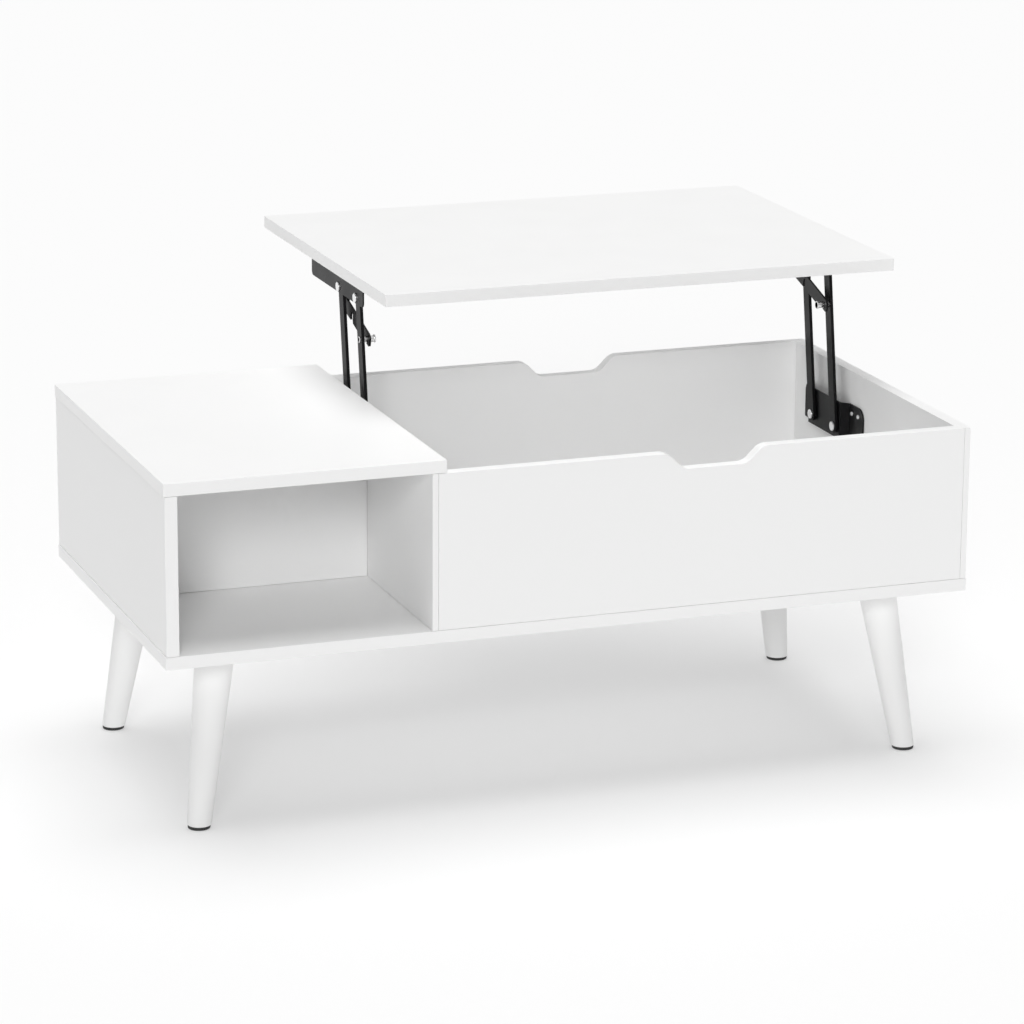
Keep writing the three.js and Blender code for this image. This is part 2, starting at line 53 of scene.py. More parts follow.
bodyOf = {node: body for body, nodes in record["behaviour"]["bodies"].items() for node in nodes}
slotOf = {part["node"]: part["material_slot"] for part in record["subparts"]}
pivotOf = {joint["name"]: Vector(joint["pos_m"]) for joint in frame["joints"]}
materials = {}           # by the record's slot name
print("frame loaded:", len(frame["nodes"]), "nodes")


# Camera, floor and light

cameraView = {"place": (-1.690, -4.768, 1.650), "lens": 148.0,
              "yaw": 20.03, "pitch": 15.37, "roll": 0.34}      # in degrees

studio = {
    "sky": 0.18,              # even light all round
    "floorColour": 0.60,
    "floorGlow": 0.31,        # keeps the shadow under the table pale
    "lights": {               # strength, spread in degrees and where each one shines from
        "softKey": (2.50, 52.0, (0.0, 0.10, 1.0)),
        "softFill": (1.04, 16.0, (-0.36, -0.90, 0.42)),
    },
    "floorSide": 60.0,
    "floorDrop": 0.0002,      # below the glides, so the two faces don't fight
}


def setUpCamera():
    data = bpy.data.cameras.new("studioCamera")
    data.lens = cameraView["lens"]
    data.sensor_width = 36
    data.clip_end = 100
    camera = bpy.data.objects.new("studioCamera", data)
    bpy.context.scene.collection.objects.link(camera)
    level = Euler((math.radians(90 - cameraView["pitch"]), 0, math.radians(-cameraView["yaw"])))
    turn = level.to_matrix() @ Matrix.Rotation(math.radians(cameraView["roll"]), 3, "Z")
    camera.matrix_world = Matrix.Translation(cameraView["place"]) @ turn.to_4x4()
    bpy.context.scene.camera = camera


def setUpStudio():
    scene = bpy.context.scene
    scene.view_settings.view_transform = "Standard"
    world = bpy.data.worlds.new("studioWorld")
    world.use_nodes = True
    sky = world.node_tree.nodes["Background"]
    sky.inputs["Color"].default_value = (1, 1, 1, 1)
    sky.inputs["Strength"].default_value = studio["sky"]
    scene.world = world
    bpy.ops.object.select_all(action="DESELECT")
    bpy.ops.mesh.primitive_plane_add(size=studio["floorSide"], location=(0, 0, -studio["floorDrop"]))
    floor = bpy.context.object
    floor.name = "studioFloor"
    paper = bpy.data.materials.new("palePaper")
    paper.use_nodes = True
    shader = paper.node_tree.nodes["Principled BSDF"]
    shade = studio["floorColour"]
    shader.inputs["Base Color"].default_value = (shade, shade, shade, 1)
    shader.inputs["Roughness"].default_value = 0.9
    shader.inputs["Specular IOR Level"].default_value = 0.0
    shader.inputs["Emission Color"].default_value = (1, 1, 1, 1)
    shader.inputs["Emission Strength"].default_value = studio["floorGlow"]
    floor.data.materials.append(paper)
    for name, (strength, spread, shinesFrom) in studio["lights"].items():
        light = bpy.data.lights.new(name, "SUN")
        light.energy = strength
        light.angle = math.radians(spread)
        lamp = bpy.data.objects.new(name, light)
        scene.collection.objects.link(lamp)
        lamp.rotation_euler = (-Vector(shinesFrom)).to_track_quat("-Z", "Y").to_euler()


setUpCamera()
setUpStudio()
print("camera, floor and light are set")


# Shared shader groups

def addNode(tree, kind, **values):
    node = tree.nodes.new(kind)
    for key, value in values.items():
        setattr(node, key, value)
    return node


def newGroup(name, inputs, outputs):
    group = bpy.data.node_groups.new(name, "ShaderNodeTree")
    for label, kind, value in inputs:
        socket = group.interface.new_socket(name=label, in_out="INPUT", socket_type=kind)
        if value is not None:
            socket.default_value = value
    for label, kind in outputs:
        group.interface.new_socket(name=label, in_out="OUTPUT", socket_type=kind)
    return group, group.nodes.new("NodeGroupInput"), group.nodes.new("NodeGroupOutput")


coarseRatio = 0.22       # the coarse noise's scale, as a share of the fine one's


# Fine grain: two sizes of noise, for the pores and orange peel of foil, paint and powder coat.
def buildFineGrain():
    inputs = [("Vector", "NodeSocketVector", None), ("Scale", "NodeSocketFloat", 900.0),
              ("Coarse Share", "NodeSocketFloat", 0.3)]
    group, source, target = newGroup("fineGrain", inputs, [("Height", "NodeSocketFloat")])
    fine = addNode(group, "ShaderNodeTexNoise")
    fine.inputs["Detail"].default_value = 2.0
    coarse = addNode(group, "ShaderNodeTexNoise")
    coarse.inputs["Detail"].default_value = 1.0
    slower = addNode(group, "ShaderNodeMath", operation="MULTIPLY")
    slower.inputs[1].default_value = coarseRatio
    blend = addNode(group, "ShaderNodeMix", data_type="FLOAT")
    link = group.links.new
    link(source.outputs["Vector"], fine.inputs["Vector"])
    link(source.outputs["Vector"], coarse.inputs["Vector"])
    link(source.outputs["Scale"], fine.inputs["Scale"])
    link(source.outputs["Scale"], slower.inputs[0])
    link(slower.outputs[0], coarse.inputs["Scale"])
    link(source.outputs["Coarse Share"], blend.inputs["Factor"])
    link(fine.outputs["Fac"], blend.inputs["A"])
    link(coarse.outputs["Fac"], blend.inputs["B"])
    link(blend.outputs["Result"], target.inputs["Height"])
    return group


# Soft patches: a slow drift from low to high, for tone and gloss that are never quite even.
def buildSoftPatches():
    inputs = [("Vector", "NodeSocketVector", None), ("Scale", "NodeSocketFloat", 6.0),
              ("Low", "NodeSocketFloat", 0.0), ("High", "NodeSocketFloat", 1.0)]
    group, source, target = newGroup("softPatches", inputs, [("Value", "NodeSocketFloat")])
    noise = addNode(group, "ShaderNodeTexNoise")
    noise.inputs["Detail"].default_value = 3.0
    spread = addNode(group, "ShaderNodeMapRange")
    spread.inputs["From Min"].default_value = 0.3
    spread.inputs["From Max"].default_value = 0.7
    link = group.links.new
    link(source.outputs["Vector"], noise.inputs["Vector"])
    link(source.outputs["Scale"], noise.inputs["Scale"])
    link(noise.outputs["Fac"], spread.inputs["Value"])
    link(source.outputs["Low"], spread.inputs["To Min"])
    link(source.outputs["High"], spread.inputs["To Max"])
    link(spread.outputs["Result"], target.inputs["Value"])
    return group


# Settled dust: more on faces that look up, broken up by noise.
def buildSettledDust():
    inputs = [("Vector", "NodeSocketVector", None), ("Scale", "NodeSocketFloat", 40.0),
              ("Amount", "NodeSocketFloat", 0.1)]
    group, source, target = newGroup("settledDust", inputs, [("Mask", "NodeSocketFloat")])
    surface = addNode(group, "ShaderNodeNewGeometry")
    split = addNode(group, "ShaderNodeSeparateXYZ")
    upward = addNode(group, "ShaderNodeClamp")
    noise = addNode(group, "ShaderNodeTexNoise")
    noise.inputs["Detail"].default_value = 6.0
    patchy = addNode(group, "ShaderNodeMath", operation="MULTIPLY")
    amount = addNode(group, "ShaderNodeMath", operation="MULTIPLY")
    link = group.links.new
    link(surface.outputs["Normal"], split.inputs["Vector"])
    link(split.outputs["Z"], upward.inputs["Value"])
    link(source.outputs["Vector"], noise.inputs["Vector"])
    link(source.outputs["Scale"], noise.inputs["Scale"])
    link(upward.outputs["Result"], patchy.inputs[0])
    link(noise.outputs["Fac"], patchy.inputs[1])
    link(patchy.outputs[0], amount.inputs[0])
    link(source.outputs["Amount"], amount.inputs[1])
    link(amount.outputs[0], target.inputs["Mask"])
    return group


fineGrain = buildFineGrain()
softPatches = buildSoftPatches()
settledDust = buildSettledDust()


# Finishes

finishes = {
    "whiteFoil": {"light": (0.945, 0.945, 0.943), "dark": (0.942, 0.942, 0.940), "rough": (0.44, 0.47),
                  "grain": 1500, "bump": 0.10, "depth": 0.00003, "dust": 0.01},
    "whiteEdge": {"light": (0.945, 0.945, 0.943), "dark": (0.940, 0.940, 0.938), "rough": (0.34, 0.38),
                  "grain": 700, "bump": 0.06, "depth": 0.00002, "dust": 0.01},
    "whitePaint": {"light": (0.93, 0.93, 0.926), "dark": (0.92, 0.92, 0.915), "rough": (0.32, 0.38),
                   "grain": 420, "bump": 0.16, "depth": 0.00005, "dust": 0.01, "stretch": 0.08},
    "blackPowder": {"light": (0.007, 0.007, 0.008), "dark": (0.004, 0.004, 0.0045),
                    "rough": (0.32, 0.40), "grain": 1300, "bump": 0.30, "depth": 0.00005,
                    "dust": 0.03, "specular": 0.13},
    "blackGlide": {"light": (0.030, 0.030, 0.030), "dark": (0.016, 0.016, 0.016), "rough": (0.50, 0.65),
                   "grain": 1800, "bump": 0.30, "depth": 0.00004, "dust": 0.15},
    "zincSteel": {"light": (0.93, 0.93, 0.93), "dark": (0.84, 0.84, 0.85), "rough": (0.24, 0.40),
                  "grain": 2200, "bump": 0.20, "depth": 0.00002, "dust": 0.04, "metal": 1.0},
}
dustColour = (0.62, 0.60, 0.57, 1)
glossPatchScale = 17.0


def rgba(colour):
    return (*colour, 1)


def makeFinish(name):
    look = finishes[name]
    material = bpy.data.materials.new(name)
    material.use_nodes = True
    tree = material.node_tree
    link = tree.links.new
    shader = tree.nodes["Principled BSDF"]
    shader.inputs["Metallic"].default_value = look.get("metal", 0.0)
    shader.inputs["Specular IOR Level"].default_value = look.get("specular", 0.5)
    place = addNode(tree, "ShaderNodeTexCoord")
    along = addNode(tree, "ShaderNodeMapping")
    along.inputs["Scale"].default_value = (1, 1, look.get("stretch", 1.0))
    link(place.outputs["Object"], along.inputs["Vector"])

    grain = addNode(tree, "ShaderNodeGroup", node_tree=fineGrain)
    grain.inputs["Scale"].default_value = look["grain"]
    tone = addNode(tree, "ShaderNodeGroup", node_tree=softPatches)
    gloss = addNode(tree, "ShaderNodeGroup", node_tree=softPatches)
    gloss.inputs["Scale"].default_value = glossPatchScale
    gloss.inputs["Low"].default_value, gloss.inputs["High"].default_value = look["rough"]
    dust = addNode(tree, "ShaderNodeGroup", node_tree=settledDust)
    dust.inputs["Amount"].default_value = look["dust"]
    for node in (grain, tone, gloss, dust):
        link(along.outputs["Vector"], node.inputs["Vector"])

    colour = addNode(tree, "ShaderNodeMix", data_type="RGBA")
    colour.inputs["A"].default_value = rgba(look["dark"])
    colour.inputs["B"].default_value = rgba(look["light"])
    link(tone.outputs["Value"], colour.inputs["Factor"])
    dusty = addNode(tree, "ShaderNodeMix", data_type="RGBA")
    dusty.inputs["B"].default_value = dustColour
    link(dust.outputs["Mask"], dusty.inputs["Factor"])
    link(colour.outputs["Result"], dusty.inputs["A"])
    link(dusty.outputs["Result"], shader.inputs["Base Color"])
    link(gloss.outputs["Value"], shader.inputs["Roughness"])

    bump = addNode(tree, "ShaderNodeBump")
    bump.inputs["Strength"].default_value = look["bump"]
    bump.inputs["Distance"].default_value = look["depth"]
    link(grain.outputs["Height"], bump.inputs["Height"])
    link(bump.outputs["Normal"], shader.inputs["Normal"])
    return material


whiteEdge = makeFinish("whiteEdge")
materials["white_board"] = makeFinish("whiteFoil")
materials["white_leg"] = makeFinish("whitePaint")
materials["black_steel"] = makeFinish("blackPowder")
materials["black_glide"] = makeFinish("blackGlide")
materials["zinc_steel"] = makeFinish("zincSteel")
print("finishes are made")


# Modelling helpers

def activate(piece):
    if bpy.context.object and bpy.context.object.mode != "OBJECT":
        bpy.ops.object.mode_set(mode="OBJECT")
    bpy.ops.object.select_all(action="DESELECT")
    piece.select_set(True)
    bpy.context.view_layer.objects.active = piece


def applyPlace(piece):
    activate(piece)
    bpy.ops.object.transform_apply(location=True, rotation=True, scale=True)


def startBlock(name, low, high):
    bpy.ops.object.select_all(action="DESELECT")
    bpy.ops.mesh.primitive_cube_add(size=1, location=(Vector(low) + Vector(high)) / 2)
    piece = bpy.context.object
    piece.name = name
    piece.scale = Vector(high) - Vector(low)
    applyPlace(piece)
    return piece


# A round bar along X from the origin.
def startRound(name, radius, length, sides=48):
    bpy.ops.object.select_all(action="DESELECT")
    bpy.ops.mesh.primitive_cylinder_add(vertices=sides, radius=radius, depth=length,
                                        location=(length / 2, 0, 0), rotation=(0, math.pi / 2, 0))
    piece = bpy.context.object
    piece.name = name
    applyPlace(piece)
    return piece


# Selects in edit mode the verts, edges or faces whose corner points pass the test.
def pick(piece, kind, test):
    activate(piece)
    bpy.ops.object.mode_set(mode="EDIT")
    bpy.ops.mesh.select_mode(type=kind)
    bpy.ops.mesh.select_all(action="DESELECT")
    bpy.ops.object.mode_set(mode="OBJECT")
    mesh = piece.data
    if kind == "VERT":
        for vert in mesh.vertices:
            vert.select = test([vert.co])
    else:
        for part in (mesh.edges if kind == "EDGE" else mesh.polygons):
            part.select = test([mesh.vertices[i].co for i in part.vertices])
    bpy.ops.object.mode_set(mode="EDIT")


def extrudeBy(x, y, z):
    bpy.ops.mesh.extrude_region_move(TRANSFORM_OT_translate={"value": (x, y, z)})


def leaveEdit():
    bpy.ops.object.mode_set(mode="OBJECT")


def cutAcross(piece, axis, at):
    activate(piece)
    bpy.ops.object.mode_set(mode="EDIT")
    bpy.ops.mesh.select_all(action="SELECT")
    point, normal = [0, 0, 0], [0, 0, 0]
    point[axis], normal[axis] = at, 1
    bpy.ops.mesh.bisect(plane_co=point, plane_no=normal)
    leaveEdit()


def useModifier(piece, kind, **values):
    activate(piece)
    modifier = piece.modifiers.new(kind.lower(), kind)
    for key, value in values.items():
        setattr(modifier, key, value)
    bpy.ops.object.modifier_apply(modifier=modifier.name)


def carve(piece, tool):
    useModifier(piece, "BOOLEAN", object=tool, operation="DIFFERENCE", solver="EXACT")
    bpy.data.objects.remove(tool)


def roundEdges(piece, width, steps=3, angle=35):
    useModifier(piece, "BEVEL", width=width, segments=steps, limit_method="ANGLE",
                angle_limit=math.radians(angle), miter_outer="MITER_ARC")


def copyPiece(piece, name):
    twin = piece.copy()
    twin.data = piece.data.copy()
    twin.name = name
    bpy.context.scene.collection.objects.link(twin)
    return twin


# A mirrored copy: mirrorX and mirrorY are the planes it is turned over, or None.
def mirrorPiece(piece, name, mirrorX=None, mirrorY=None):
    twin = copyPiece(piece, name)
    twin.scale = (1 if mirrorX is None else -1, 1 if mirrorY is None else -1, 1)
    twin.location = (2 * (mirrorX or 0), 2 * (mirrorY or 0), 0)
    applyPlace(twin)
    bpy.ops.object.mode_set(mode="EDIT")
    bpy.ops.mesh.select_all(action="SELECT")
    bpy.ops.mesh.normals_make_consistent(inside=False)
    leaveEdit()
    return twin


def joinPieces(first, others):
    activate(first)
    for other in others:
        other.select_set(True)
    bpy.ops.object.join()


# Gives a finished piece its shading, its finish and its place in the frame.
def finishPiece(piece, node, smoothAngle=30):
    activate(piece)
    bpy.ops.object.shade_smooth_by_angle(angle=math.radians(smoothAngle))
    useModifier(piece, "WEIGHTED_NORMAL", keep_sharp=True, weight=100)
    if not piece.data.materials:
        piece.data.materials.append(materials[slotOf[node]])
    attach(piece, bodyOf[node])
    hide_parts(node)


def near(a, b, within=slack):
    return abs(a - b) < within


# Boards

board = {
    "edgeRound": 0.4 * mm,       # soft arris of the glued edge band
    "bandShow": 0.5 * mm,        # from the arris to the seam between band and foil
    "seamWidth": 0.12 * mm,
    "seamDepth": 0.10 * mm,
    "foilInset": 1.2 * mm,       # faces centred nearer the edge than this take the band's finish
}


# Rounds the arrises, lets a hairline seam into both broad faces and gives the narrow ones their band.
def dressBoard(piece, node):
    low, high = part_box(node)
    size = high - low
    thin = min(range(3), key=lambda axis: size[axis])
    roundEdges(piece, board["edgeRound"])
    for side in (low[thin], high[thin]):
        pick(piece, "FACE", lambda corners: all(near(c[thin], side, fineSlack) for c in corners))
        bpy.ops.mesh.inset(thickness=board["bandShow"], depth=0)
        bpy.ops.mesh.inset(thickness=board["seamWidth"] / 2, depth=-board["seamDepth"])
        bpy.ops.mesh.inset(thickness=board["seamWidth"] / 2, depth=board["seamDepth"])
        leaveEdit()
    piece.data.materials.append(materials["white_board"])
    piece.data.materials.append(whiteEdge)
    for face in piece.data.polygons:
        inside = all(near(face.center[a], (low[a] + high[a]) / 2, size[a] / 2 - board["foilInset"])
                     for a in range(3) if a != thin)
        face.material_index = 0 if inside and abs(face.normal[thin]) > 0.9 else 1
    finishPiece(piece, node)


def makeBoard(name, node):
    piece = startBlock(name, *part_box(node))
    dressBoard(piece, node)


# A standing board whose edges are lapped by the front and back boards on one side.
def makeLappedBoard(name, node, side):
    low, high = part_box(node)
    piece = startBlock(name, low, high)
    frontLow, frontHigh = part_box("front_panel")
    gap = boardGap
    lapX = frontLow.x - gap if side > 0 else frontHigh.x + gap
    outX = high.x + gap if side > 0 else low.x - gap
    depth = frontHigh.y - frontLow.y + gap
    for start, end in ((low.y - gap, low.y + depth), (high.y - depth, high.y + gap)):
        xs = sorted((lapX, outX))
        lapLow, lapHigh = (xs[0], start, low.z - gap), (xs[1], end, high.z + gap)
        carve(piece, startBlock("lapTool", lapLow, lapHigh))
    dressBoard(piece, node)


notch = {"mouth": 120 * mm, "floor": 80 * mm, "depth": 20 * mm, "round": 7 * mm}


# A long board with a finger notch with sloping sides in its top edge.
def makeNotchedBoard(name, node):
    low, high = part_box(node)
    piece = startBlock(name, low, high)
    topLow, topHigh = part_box("lift_top")
    middle = (topLow.x + topHigh.x) / 2
    reach = notch["depth"]
    slope = (notch["mouth"] - notch["floor"]) / 2
    halfTool = notch["mouth"] / 2 + slope
    tool = startBlock("notchTool", (middle - halfTool, low.y - reach, high.z - reach),
                      (middle + halfTool, high.y + reach, high.z + reach))
    pick(tool, "VERT", lambda corners: near(corners[0].z, high.z - reach))
    bpy.ops.transform.resize(value=(notch["floor"] / 2 / halfTool, 1, 1),
                             center_override=(middle, 0, high.z - reach))
    leaveEdit()
    carve(piece, tool)

    def isNotchCorner(ends):
        crossways = near(ends[0].x, ends[1].x) and near(ends[0].z, ends[1].z)
        inMouth = abs(ends[0].x - middle) < notch["mouth"] / 2 + mm
        return crossways and inMouth and ends[0].z > high.z - reach - mm

    pick(piece, "EDGE", isNotchCorner)
    bpy.ops.mesh.bevel(offset=notch["round"], segments=6, affect="EDGES")
    leaveEdit()
    dressBoard(piece, node)


makeBoard("baseBoard", "base_panel")
makeBoard("leftSideBoard", "left_side_panel")
makeBoard("cubbyBackBoard", "cubby_back_panel")
makeBoard("fixedTopBoard", "fixed_top")
makeBoard("liftTopBoard", "lift_top")
makeLappedBoard("dividerBoard", "divider_panel", 1)
makeLappedBoard("rightSideBoard", "right_side_panel", -1)
makeNotchedBoard("frontBoard", "front_panel")
makeNotchedBoard("backBoard", "back_panel")
print("boards are made")


# Legs and glides

leg = {"topRadius": 24 * mm, "footRadius": 14.2 * mm, "sides": 72, "rim": 0.8 * mm, "rings": 6}
glide = {"radius": 13.2 * mm, "sides": 48, "rim": 1.0 * mm, "nailRadius": 3.4 * mm, "nailSink": 0.8 * mm}
carcassLow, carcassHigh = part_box("base_panel")
middleX = (carcassLow.x + carcassHigh.x) / 2
middleY = (carcassLow.y + carcassHigh.y) / 2
corners = {"front_left": (None, None), "front_right": (middleX, None),
           "back_left": (None, middleY), "back_right": (middleX, middleY)}


def modelLeg():
    low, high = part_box("leg_front_left")
    foot = Vector((low.x + leg["footRadius"], low.y + leg["footRadius"], low.z))
    top = Vector((high.x - leg["topRadius"], high.y - leg["topRadius"], high.z))
    bpy.ops.object.select_all(action="DESELECT")
    bpy.ops.mesh.primitive_cone_add(vertices=leg["sides"], radius1=leg["footRadius"],
                                    radius2=leg["topRadius"], depth=high.z - low.z,
                                    location=(foot.x, foot.y, (low.z + high.z) / 2))
    piece = bpy.context.object
    piece.name = "legModel"
    applyPlace(piece)
    pick(piece, "VERT", lambda points: near(points[0].z, high.z))
    bpy.ops.transform.translate(value=(top.x - foot.x, top.y - foot.y, 0))
    leaveEdit()
    for level in range(1, leg["rings"]):
        cutAcross(piece, 2, low.z + (high.z - low.z) * level / leg["rings"])
    roundEdges(piece, leg["rim"], steps=3, angle=50)
    return piece


def modelGlide():
    low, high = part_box("glide_front_left")
    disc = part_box("leg_front_left")[0].z - boardGap
    bpy.ops.object.select_all(action="DESELECT")
    centre = Vector((low.x + glide["radius"], low.y + glide["radius"], (low.z + disc) / 2))
    bpy.ops.mesh.primitive_cylinder_add(vertices=glide["sides"], radius=glide["radius"],
                                        depth=disc - low.z, location=centre)
    piece = bpy.context.object
    piece.name = "glideModel"
    applyPlace(piece)
    roundEdges(piece, glide["rim"], steps=4, angle=50)
    pick(piece, "FACE", lambda points: all(near(p.z, low.z, fineSlack) for p in points))
    bpy.ops.mesh.inset(thickness=glide["radius"] - glide["rim"] - glide["nailRadius"], depth=0)
    extrudeBy(0, 0, glide["nailSink"])
    leaveEdit()
    return piece


legModel = modelLeg()
glideModel = modelGlide()
for corner, (mirrorX, mirrorY) in corners.items():
    finishPiece(mirrorPiece(legModel, "turnedLeg_" + corner, mirrorX, mirrorY), "leg_" + corner)
    finishPiece(mirrorPiece(glideModel, "footGlide_" + corner, mirrorX, mirrorY), "glide_" + corner)
bpy.data.objects.remove(legModel)
bpy.data.objects.remove(glideModel)
print("legs and glides are made")


# Hinges: modelled on the left, mirrored to the right

hinge = {
    "armWidth": 17 * mm,
    "armSides": 48,
    "armRound": 0.5 * mm,
    "footCorner": 1.5 * mm,       # lower corners of the base plate
    "latchRound": 0.3 * mm,
    "sheet": 2 * mm,
    "pressRound": 0.35 * mm,      # edges of pressed steel
    "webFront": 10 * mm,
    "webRear": 17 * mm,
    "joggle": 10 * mm,
    "plateCorner": 14 * mm,
    "bracketCorner": 6 * mm,
    "bracketBelow": 7 * mm,       # web below the upper pivots
    "lugWidth": 19 * mm,
    "lugFlat": 0.05 * mm,         # left between the lug's two round corners
}
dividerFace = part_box("divider_panel")[1].x
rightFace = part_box("right_side_panel")[0].x
hingeMirror = (dividerFace + rightFace) / 2
rearLower = pivotOf["lift"]
rearUpper = pivotOf["lift_top_pivot"]
frontLower = pivotOf["left_front_arm_pivot"]
armVector = Vector((0, rearUpper.y - rearLower.y, rearUpper.z - rearLower.z))


def bothSides(piece, node):
    twin = mirrorPiece(piece, piece.name.replace("left", "right"), mirrorX=hingeMirror)
    finishPiece(piece, node)
    finishPiece(twin, node.replace("left", "right"))


# A flat bar with round ends: a disc whose upper half is drawn out to the other pivot.
def makeArm(name, node, lowerPivot):
    low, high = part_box(node)
    sides = hinge["armSides"]
    piece = startRound(name, hinge["armWidth"] / 2, high.x - low.x, sides)
    piece.rotation_euler = (math.pi / sides, 0, 0)
    applyPlace(piece)
    pick(piece, "VERT", lambda points: points[0].z > 0)
    bpy.ops.transform.translate(value=(0, 0, armVector.length))
    leaveEdit()
    lean = math.atan2(armVector.z, armVector.y) - math.pi / 2
    piece.rotation_euler = (lean, 0, 0)
    piece.location = (low.x, lowerPivot.y, lowerPivot.z)
    applyPlace(piece)
    roundEdges(piece, hinge["armRound"], steps=3, angle=50)
    bothSides(piece, node)


# Rounds a plate's front and rear corners at one height.
def roundEnds(piece, low, high, level, radius, steps):
    def isCorner(ends):
        across = near(ends[0].y, ends[1].y) and near(ends[0].z, level) and near(ends[1].z, level)
        return across and (near(ends[0].y, low.y) or near(ends[0].y, high.y))

    pick(piece, "EDGE", isCorner)
    bpy.ops.mesh.bevel(offset=radius, segments=steps, affect="EDGES")
    leaveEdit()


# A plate with a raised web in the middle, stepped down to a foot at each end.
def makeBasePlate():
    node = "left_base_plate"
    low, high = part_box(node)
    piece = startBlock("leftBasePlate", low, (low.x + hinge["sheet"], high.y, high.z))
    webStart = frontLower.y - hinge["webFront"]
    webEnd = rearLower.y + hinge["webRear"]
    for at in (webStart - hinge["joggle"], webStart, webEnd, webEnd + hinge["joggle"]):
        cutAcross(piece, 1, at)
    pick(piece, "VERT", lambda points: webStart - slack < points[0].y < webEnd + slack)
    bpy.ops.transform.translate(value=(high.x - hinge["sheet"] - low.x, 0, 0))
    leaveEdit()

    roundEnds(piece, low, high, high.z, hinge["plateCorner"], 10)
    roundEnds(piece, low, high, low.z, hinge["footCorner"], 4)
    roundEdges(piece, hinge["pressRound"], steps=2, angle=12)
    bothSides(piece, node)


# An angle: a web, a flange on top of it and a lug hanging from the flange's far edge.
def makeTopBracket():
    node = "left_top_bracket"
    low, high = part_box(node)
    latchPivot = pivotOf["left_latch_pivot"]
    sheet = hinge["sheet"]
    webLow = rearUpper.z - hinge["bracketBelow"]
    piece = startBlock("leftTopBracket", (low.x, low.y, webLow), (low.x + sheet, high.y, high.z))
    cutAcross(piece, 2, high.z - sheet)

    def isFlangeRoot(points):
        return all(near(p.x, low.x + sheet) and p.z > high.z - 1.5 * sheet for p in points)

    pick(piece, "FACE", isFlangeRoot)
    extrudeBy(high.x - sheet - low.x - sheet, 0, 0)
    extrudeBy(sheet, 0, 0)
    leaveEdit()
    for side in (-1, 1):
        cutAcross(piece, 1, latchPivot.y + side * hinge["lugWidth"] / 2)

    def isLugRoot(points):
        under = all(near(p.z, high.z - sheet) and p.x > high.x - 1.5 * sheet for p in points)
        return under and all(abs(p.y - latchPivot.y) < hinge["lugWidth"] / 2 + slack for p in points)

    pick(piece, "FACE", isLugRoot)
    extrudeBy(0, 0, low.z - (high.z - sheet))
    leaveEdit()

    def isLugCorner(ends):
        across = near(ends[0].y, ends[1].y) and near(ends[0].z, ends[1].z)
        outer = near(abs(ends[0].y - latchPivot.y), hinge["lugWidth"] / 2)
        return across and near(ends[0].z, low.z) and outer

    pick(piece, "EDGE", isLugCorner)
    bpy.ops.mesh.bevel(offset=hinge["lugWidth"] / 2 - hinge["lugFlat"], segments=10, affect="EDGES")
    leaveEdit()
    roundEnds(piece, low, high, webLow, hinge["bracketCorner"], 6)
    roundEdges(piece, hinge["pressRound"], steps=2, angle=35)
    bothSides(piece, node)


# The latch keeps its cam outline: a merged copy of the node, with its pressed edges rounded.
def makeLatch():
    node = "left_latch"
    piece = copyPiece(frame["nodes"][node], "leftLatchHook")
    piece.parent = None
    for mark in list(piece.keys()):
        del piece[mark]
    piece.data.materials.clear()
    activate(piece)
    bpy.ops.object.mode_set(mode="EDIT")
    bpy.ops.mesh.select_all(action="SELECT")
    bpy.ops.mesh.remove_doubles(threshold=fineSlack)
    bpy.ops.mesh.dissolve_limited(angle_limit=math.radians(1))
    leaveEdit()
    roundEdges(piece, hinge["latchRound"], steps=2, angle=50)
    bothSides(piece, node)


makeArm("leftRearArm", "left_rear_arm", rearLower)
makeArm("leftFrontArm", "left_front_arm", frontLower)
makeBasePlate()
makeTopBracket()
makeLatch()
print("hinge plates, brackets, arms and latches are made")


# Rivets, pins and screws

rivet = {"radius": 3.0 * mm, "headRadius": 6.0 * mm, "headHeight": 1.8 * mm, "dome": 0.9 * mm}
latchRivet = {"radius": 2.5 * mm, "headRadius": 3.6 * mm, "headHeight": 1.8 * mm, "dome": 1.1 * mm}
pin = {"tailRadius": 4.0 * mm, "tailHeight": 0.9 * mm,
       "rollerRadius": 4.0 * mm, "rollerLength": 14 * mm,
       "flangeRadius": 5.0 * mm, "flange": 1.4 * mm, "shankRadius": 3.0 * mm,
       "flangeDome": 0.5 * mm, "tailDome": 0.6 * mm}
screw = {"radius": 1.75 * mm, "headRadius": 2.8 * mm, "headHeight": 1.8 * mm, "dome": 0.9 * mm,
         "slotLength": 3.2 * mm, "slotWidth": 0.8 * mm, "slotDepth": 1.1 * mm,
         "slotTurn": 9, "sides": 24, "tip": 0.15}     # slotTurn is in degrees
baseScrew = {"radius": 3.0 * mm, "headRadius": 5.0 * mm, "headHeight": 3.0 * mm, "socket": 2.3 * mm,
             "socketDepth": 2.2 * mm, "sides": 24, "tip": 0.15, "rim": 0.3 * mm}


# A head is a short round bar whose outer rim is rolled over. It stands on x = 0 and looks along +X.
def modelHead(name, radius, height, dome):
    piece = startRound(name, radius, height)
    pick(piece, "EDGE", lambda ends: near(ends[0].x, height) and near(ends[1].x, height))
    bpy.ops.mesh.bevel(offset=dome, segments=6, profile=0.6, affect="EDGES")
    leaveEdit()
    return piece


def movePiece(piece, x, turn=0):
    piece.location = (x, 0, 0)
    piece.rotation_euler = (0, 0, turn)
    applyPlace(piece)


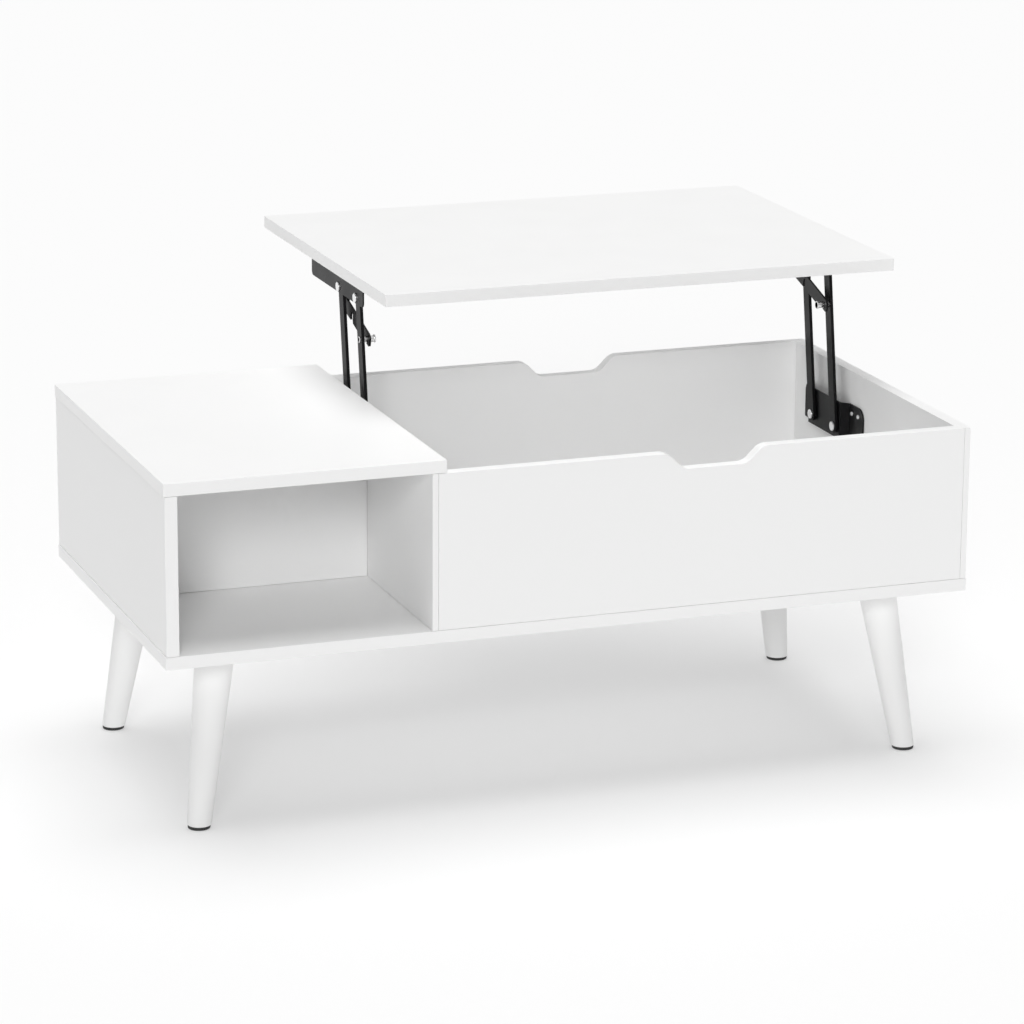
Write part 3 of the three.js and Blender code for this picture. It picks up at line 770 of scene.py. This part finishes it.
# A rivet along X, from one head's top at x = 0 to the other's.
def modelRivet(name, size, length):
    piece = startRound(name, size["radius"], length - size["headHeight"])
    movePiece(piece, size["headHeight"] / 2)
    lowHead, highHead = (
        modelHead("head", size["headRadius"], size["headHeight"], size["dome"]) for side in range(2))
    movePiece(lowHead, size["headHeight"], math.pi)
    movePiece(highHead, length - size["headHeight"])
    joinPieces(piece, [lowHead, highHead])
    return piece


def placeRivet(name, node, size):
    low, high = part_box(node)
    piece = modelRivet(name, size, high.x - low.x)
    piece.location = (low.x, (low.y + high.y) / 2, (low.z + high.z) / 2)
    applyPlace(piece)
    bothSides(piece, node)


def makeLatchPin():
    node = "left_latch_pin"
    low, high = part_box(node)
    piece = startRound("leftLatchPin", pin["rollerRadius"], pin["rollerLength"] + pin["flange"])
    roller = high.x - low.x - pin["rollerLength"] - pin["flange"]
    movePiece(piece, roller)
    flange = modelHead("flange", pin["flangeRadius"], pin["flange"], pin["flangeDome"])
    movePiece(flange, roller + pin["rollerLength"])
    shank = startRound("shank", pin["shankRadius"], roller)
    tail = modelHead("tail", pin["tailRadius"], pin["tailHeight"], pin["tailDome"])
    movePiece(tail, pin["tailHeight"], math.pi)
    joinPieces(piece, [flange, shank, tail])
    piece.location = (low.x, (low.y + high.y) / 2, (low.z + high.z) / 2)
    applyPlace(piece)
    bothSides(piece, node)


# Narrows the far end of a shaft to a share of its radius.
def drawTip(shaft, length, share):
    pick(shaft, "VERT", lambda points: points[0].x > length - mm)
    bpy.ops.transform.resize(value=(1, share, share), center_override=(length, 0, 0))
    leaveEdit()


# A pan-head screw along X: the head's top is at x = 0 and the shaft runs towards +X.
def modelScrew(name, length):
    head = modelHead("head", screw["headRadius"], screw["headHeight"], screw["dome"])
    movePiece(head, screw["headHeight"], math.pi)
    slot = (screw["slotLength"], screw["slotWidth"])
    for long, wide in (slot, slot[::-1]):
        low, high = (-mm, -long / 2, -wide / 2), (screw["slotDepth"], long / 2, wide / 2)
        carve(head, startBlock("slotTool", low, high))
    shaft = startRound(name, screw["radius"], length - screw["headHeight"] / 2, screw["sides"])
    movePiece(shaft, screw["headHeight"] / 2)
    drawTip(shaft, length, screw["tip"])
    joinPieces(shaft, [head])
    return shaft


def modelBaseScrew(name, length):
    head = startRound("head", baseScrew["headRadius"], baseScrew["headHeight"])
    carve(head, startSocket())
    roundEdges(head, baseScrew["rim"], steps=2, angle=50)
    shaft = startRound(name, baseScrew["radius"], length - baseScrew["headHeight"], baseScrew["sides"])
    movePiece(shaft, baseScrew["headHeight"])
    drawTip(shaft, length, baseScrew["tip"])
    joinPieces(shaft, [head])
    return shaft


# Points a screw up from the bottom of its node's box.
def standScrew(piece, node):
    low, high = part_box(node)
    piece.rotation_euler = (0, -math.pi / 2, 0)
    piece.location = ((low.x + high.x) / 2, (low.y + high.y) / 2, low.z)
    applyPlace(piece)


def startSocket():
    tool = startRound("socketTool", baseScrew["socket"], baseScrew["socketDepth"] + mm, 6)
    movePiece(tool, -mm)
    return tool


for spot in ("rear_lower", "front_lower", "rear_upper", "front_upper"):
    placeRivet("leftRivet_" + spot, "left_" + spot + "_rivet", rivet)
placeRivet("leftRivet_latch", "left_latch_rivet", latchRivet)
makeLatchPin()

for spot in ("front", "middle", "rear"):
    node = "left_plate_screw_" + spot
    low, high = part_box(node)
    piece = modelScrew("leftPlateScrew_" + spot, high.x - low.x)
    piece.rotation_euler = (math.radians(screw["slotTurn"]), 0, math.pi)
    piece.location = (high.x, (low.y + high.y) / 2, (low.z + high.z) / 2)
    applyPlace(piece)
    bothSides(piece, node)

for spot in ("rear", "middle"):
    node = "left_bracket_screw_" + spot
    low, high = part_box(node)
    piece = modelScrew("leftBracketScrew_" + spot, high.z - low.z)
    standScrew(piece, node)
    bothSides(piece, node)

for wall in ("left", "divider", "right"):
    for end in ("front", "back"):
        node = "base_screw_" + wall + "_" + end
        low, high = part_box(node)
        piece = modelBaseScrew("baseScrew_" + wall + "_" + end, high.z - low.z)
        standScrew(piece, node)
        finishPiece(piece, node)

for corner in corners:                 # hidden inside the legs, so the nodes stay as they are
    bolt = frame["nodes"]["leg_bolt_" + corner]
    bolt.data.materials.clear()
    bolt.data.materials.append(materials["zinc_steel"])
print("rivets, pins and screws are made")

bpy.ops.object.select_all(action="DESELECT")
